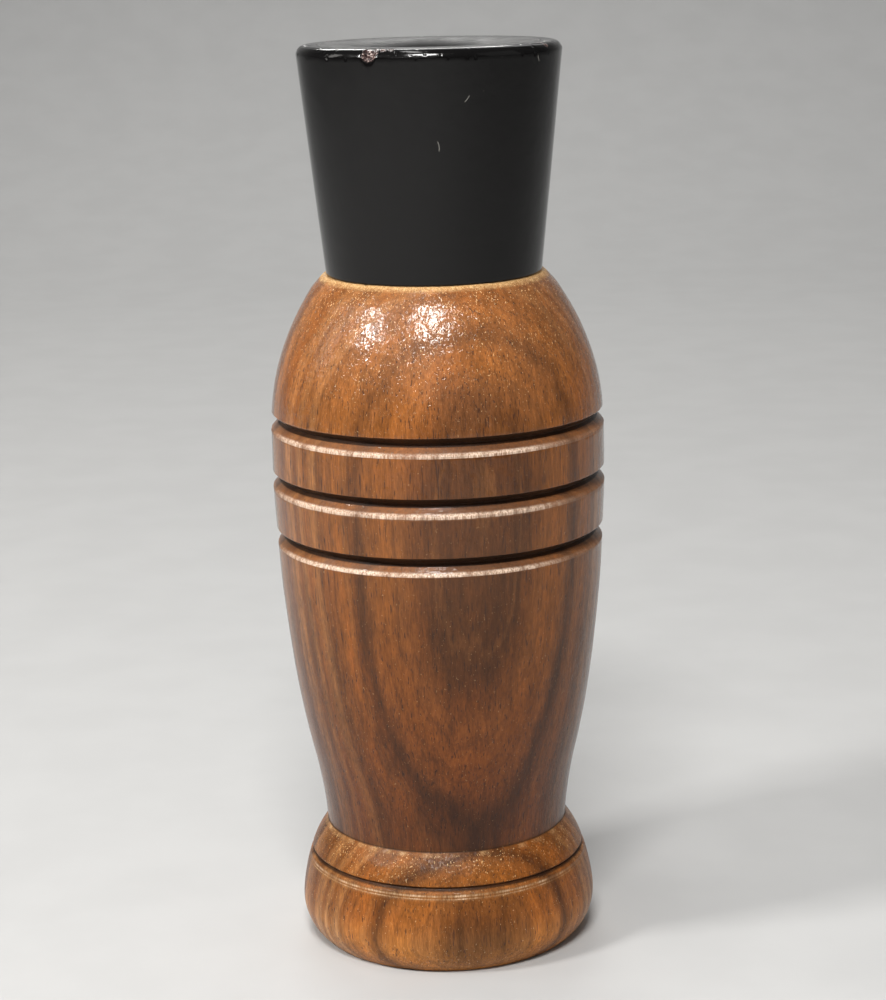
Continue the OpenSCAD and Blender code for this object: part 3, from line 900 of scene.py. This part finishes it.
def make_wedge():
    """Cork wedge: a D-shaped bar, flat on the reeds, its top sloped to the slot's ceiling; pits are cut into its skin."""
    a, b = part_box("wedge")
    z0, z1 = a.z / MM, b.z / MM
    y_flat = b.y / MM
    R = BORE - 1.7
    slope = math.tan(math.radians(7))

    def ceil_y(z):
        return -2.95 + 0.03 - (SLOT_BACK - z) * slope

    nz, na = 90, 150
    rings = []
    for j in range(nz + 1):
        z = z0 + (z1 - z0) * j / nz
        yc = ceil_y(z)
        xf = math.sqrt(R * R - y_flat * y_flat)
        xc = math.sqrt(max(0.01, R * R - yc * yc))
        loop = []
        # flat face from -xf to xf, arc side, ceiling, arc side
        segs = [((-xf, y_flat), (xf, y_flat)), "arc_r", ((xc, yc), (-xc, yc)), "arc_l"]
        a_f, a_c = math.atan2(y_flat, xf), math.atan2(yc, xc)
        for s in segs:
            if s == "arc_r":
                k = 24
                loop += [(R * math.cos(a_f + (a_c - a_f) * i / k), R * math.sin(a_f + (a_c - a_f) * i / k)) for i in range(k)]
            elif s == "arc_l":
                k = 24
                loop += [(-R * math.cos(a_c + (a_f - a_c) * i / k), R * math.sin(a_c + (a_f - a_c) * i / k)) for i in range(k)]
            else:
                k = 52
                (x0, y0), (x1, y1) = s
                loop += [(x0 + (x1 - x0) * i / k, y0 + (y1 - y0) * i / k) for i in range(k)]
        ym = (y_flat + yc) / 2
        # soft edges: pull points in near corners and ends
        endf = min(1.0, (z - z0) / 0.35, (z1 - z) / 0.35) if 0 < j < nz else 0.0
        k_in = 1 - 0.05 * (1 - math.sqrt(max(0.0, 1 - (1 - endf) ** 2)))
        pts = []
        for (px, py) in loop:
            nx_, ny_ = px / R, (py - ym) / abs(yc - y_flat) * 2
            d = fbm(px * 1.3, py * 1.3, z * 1.1, 4)
            pit = max(0.0, d - 0.18) * 0.42 + 0.02 * abs(n3(px * 6, py * 6, z * 6))
            ln = math.hypot(nx_, ny_) or 1
            qx = px * k_in - pit * nx_ / ln
            qy = ym + (py - ym) * k_in - pit * ny_ / ln
            if abs(py - y_flat) < 1e-6:
                qy = min(qy, y_flat)
            pts.append((qx, qy))
        rings.append([(x * MM, y * MM, z * MM) for x, y in pts])
    W = len(rings[0])
    verts = [p for r in rings for p in r]
    faces = []
    for j in range(nz):
        for i in range(W):
            k = (i + 1) % W
            faces.append((j * W + i, j * W + k, (j + 1) * W + k, (j + 1) * W + i))
    # end caps as grids of rings shrinking to a centre line
    for j, flip in ((0, False), (nz, True)):
        base = j * W
        prev = list(range(base, base + W))
        z = rings[j][0][2]
        cx = sum(p[0] for p in rings[j]) / W
        cy = sum(p[1] for p in rings[j]) / W
        for s in range(1, 9):
            t = 1 - s / 9
            new = []
            for i in range(W):
                p = rings[j][i]
                px, py = cx + (p[0] - cx) * t, cy + (p[1] - cy) * t
                d = max(0.0, fbm(px / MM * 1.2, py / MM * 1.2, 3.3 + j, 3) - 0.12) * 0.35 * MM
                verts.append((px, py, z + (d if j == 0 else -d)))
                new.append(len(verts) - 1)
            for i in range(W):
                k = (i + 1) % W
                faces.append((prev[i], prev[k], new[k], new[i]))
            prev = new
        verts.append((cx, cy, z))
        c = len(verts) - 1
        for i in range(W):
            faces.append((prev[i], prev[(i + 1) % W], c))
    me = bpy.data.meshes.new("cork_wedge")
    me.from_pydata(verts, [], faces)
    me.update()
    ob = bpy.data.objects.new("cork_wedge", me)
    scene.collection.objects.link(ob)
    finish_mesh(ob)
    ob.data.materials.append(cork())
    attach(ob, "wedge")
    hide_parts("wedge")
    return ob


def rubber():
    g = Mat("seal_rubber")
    P = g.mm
    n = g.noise(P, 4.0, 4.0, 0.6)
    col = g.mix(g.smooth(n, 0.4, 0.7), (0.012, 0.012, 0.013), (0.032, 0.031, 0.030))
    g.set(Base_Color=col, Roughness=g.mad(n, 0.3, 0.38))
    g.set(Normal=g.bump(n, 0.35, 0.00004))
    return g.m


def make_o_ring(name, node, mat):
    a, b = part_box(node)
    zc = (a.z + b.z) / 2 / MM
    h = (b.z - a.z) / 2 / MM
    ro = b.x / MM
    ri = BORE - 1.54 + 0.02
    rc, w = (ro + ri) / 2, (ro - ri) / 2
    prof = []
    for k in range(40):
        t = 2 * math.pi * k / 40
        c, s = math.cos(t), math.sin(t)
        e = 0.80   # a circle squeezed flat where it meets the bore and the groove floor
        prof.append((rc + w * math.copysign(abs(c) ** e, c), zc + h * math.copysign(abs(s) ** 0.97, s), "ring"))

    def warp(r, phi, z, tag):
        return r, phi, z, {}

    ob = lathe(name, prof, 200, warp)
    ob.data.materials.append(mat)
    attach(ob, "seals")
    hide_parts(node)
    return ob


# ------------------------------------------------------------------ stage
def stage():
    g = Mat("floor_pale")
    n = g.noise(g.obj, 60.0, 3.0, 0.5)
    g.set(Base_Color=g.mix(g.smooth(n, 0.3, 0.7), (0.50, 0.50, 0.497), (0.52, 0.52, 0.517)), Roughness=g.mad(n, 0.1, 0.6))
    g.bsdf.inputs["Specular IOR Level"].default_value = 0.2
    # floor that rises into a backdrop far behind the object, in one smooth sheet
    prof = []
    for k in range(0, 21):
        prof.append((-2.5 + 3.1 * k / 20, 0.0))
    for k in range(1, 25):
        a = math.radians(90 * k / 24)
        prof.append((0.6 + 0.5 * math.sin(a), 0.5 * (1 - math.cos(a))))
    for k in range(1, 11):
        prof.append((1.1, 0.5 + 0.15 * k))
    verts, faces = [], []
    xs = [-2.5 + 5.0 * i / 20 for i in range(21)]
    for (yy, zz) in prof:
        for xx in xs:
            verts.append((xx, yy, zz))
    W = len(xs)
    for j in range(len(prof) - 1):
        for i in range(W - 1):
            faces.append((j * W + i, j * W + i + 1, (j + 1) * W + i + 1, (j + 1) * W + i))
    me = bpy.data.meshes.new("studio_floor")
    me.from_pydata(verts, [], faces)
    for p in me.polygons:
        p.use_smooth = True
    me.update()
    ob = bpy.data.objects.new("studio_floor", me)
    scene.collection.objects.link(ob)
    ob.data.materials.append(g.m)
    ob.location.z = -0.00002

    w = bpy.data.worlds.new("studio")
    scene.world = w
    w.use_nodes = True
    t = w.node_tree
    t.nodes.clear()
    out = t.nodes.new("ShaderNodeOutputWorld")
    bg = t.nodes.new("ShaderNodeBackground")
    tc = t.nodes.new("ShaderNodeTexCoord")
    sep = t.nodes.new("ShaderNodeSeparateXYZ")
    t.links.new(tc.outputs["Generated"], sep.inputs[0])
    rp = t.nodes.new("ShaderNodeValToRGB")
    mr = t.nodes.new("ShaderNodeMapRange")
    mr.inputs["From Min"].default_value = -1.0
    mr.inputs["From Max"].default_value = 1.0
    t.links.new(sep.outputs["Z"], mr.inputs["Value"])
    t.links.new(mr.outputs[0], rp.inputs[0])
    el = rp.color_ramp.elements
    el[0].position, el[0].color = 0.45, (0.42, 0.42, 0.43, 1)
    el[1].position, el[1].color = 1.0, (0.95, 0.95, 0.97, 1)
    t.links.new(rp.outputs[0], bg.inputs["Color"])
    bg.inputs["Strength"].default_value = 0.16
    t.links.new(bg.outputs[0], out.inputs[0])


def area(name, direction, dist, size, power, target=(0, 0, 0.06), color=(1, 1, 1), size_y=None):
    d = bpy.data.lights.new(name, "AREA")
    d.energy = power
    d.color = color
    d.shape = "RECTANGLE" if size_y else "DISK"
    d.size = size
    if size_y:
        d.size_y = size_y
    o = bpy.data.objects.new(name, d)
    v = Vector(direction).normalized()
    o.location = Vector(target) + v * dist
    o.rotation_euler = (-v).to_track_quat("-Z", "Y").to_euler()
    scene.collection.objects.link(o)
    return o


def lights():
    area("key_left", (-0.699, -0.345, 0.626), 0.62, 0.105, 2.6, target=(-0.008, -0.016, 0.085), color=(1.0, 0.985, 0.96), size_y=0.075)
    area("key_top", (-0.06, -0.629, 0.775), 0.70, 0.21, 4.8, target=(0, -0.017, 0.0866), color=(1.0, 0.99, 0.97), size_y=0.10)
    area("left_strip", (-0.88, 0.10, 0.45), 0.60, 0.10, 0.3, target=(-0.01, -0.01, 0.07), color=(1.0, 0.97, 0.92), size_y=0.25)
    area("fill_right", (0.9, -0.35, 0.42), 1.1, 0.7, 0.5, color=(1.0, 0.99, 0.97), size_y=0.9)
    area("fill_front", (-0.25, -1.0, 0.55), 1.4, 0.9, 1.2, color=(1.0, 0.99, 0.98), size_y=0.6)
    area("back_rim", (0.15, 0.9, 0.75), 1.2, 0.8, 1.2, color=(1, 1, 1), size_y=0.5)
    area("overhead", (-0.14, -0.02, 0.99), 0.75, 0.30, 0.9, target=(0, -0.016, 0.12), color=(1.0, 0.99, 0.97), size_y=0.07)
    area("rim_strip", (-0.10, 0.86, 0.50), 0.90, 0.42, 1.8, target=(0, -0.016, 0.12), color=(1.0, 0.99, 0.96), size_y=0.08)


def camera():
    L = ZT * MM
    D = L / 0.366
    f = 2523.0
    pitch, roll = math.radians(13.1), math.radians(1.335)
    c = bpy.data.cameras.new("camera")
    c.sensor_width = 36.0
    c.sensor_fit = "AUTO"
    c.lens = f * 36.0 / 1000.0
    c.clip_start, c.clip_end = 0.01, 20
    o = bpy.data.objects.new("camera", c)
    fwd = Vector((0, math.cos(pitch), -math.sin(pitch)))
    up = Vector((0, math.sin(pitch), math.cos(pitch)))
    right = Vector((1, 0, 0))
    r2 = right * math.cos(roll) - up * math.sin(roll)
    u2 = right * math.sin(roll) + up * math.cos(roll)
    m = Matrix(((r2.x, u2.x, -fwd.x, 0), (r2.y, u2.y, -fwd.y, 0), (r2.z, u2.z, -fwd.z, 0), (0, 0, 0, 1)))
    m.translation = Vector((0.00047, -D, 0.415 * D))
    o.matrix_world = m
    scene.collection.objects.link(o)
    scene.camera = o
    scene.view_settings.view_transform = "Standard"
    scene.view_settings.look = "None"


camera()
make_barrel()
make_stopper()
dress_tone_board()
UPPER_Y = -0.01 - 0.36 - 0.01
LOW_TIP, UP_TIP = lo("lower_reed").z / MM, lo("upper_reed").z / MM
make_reed("lower_reed_film", "lower_reed", LOW_TIP, lambda z: -0.01, 0.36, 13.0, 4.5,
          mat=reed_material("film_clear", (0.72, 0.76, 0.75), 0.35))
make_reed("upper_reed_film", "upper_reed", UP_TIP,
          lambda z: UPPER_Y - (0.45 * (SLOT_FACE - z) / (SLOT_FACE - UP_TIP) if z < SLOT_FACE else 0.0), 0.25, 13.0, 4.5,
          dimple=(TIP + 20, 1.5, 0.28), mat=reed_material("film_amber", (0.70, 0.50, 0.22), 0.4))
make_wedge()
seal = rubber()
make_o_ring("front_seal", "front_o_ring", seal)
make_o_ring("rear_seal", "rear_o_ring", seal)
stage()
lights()
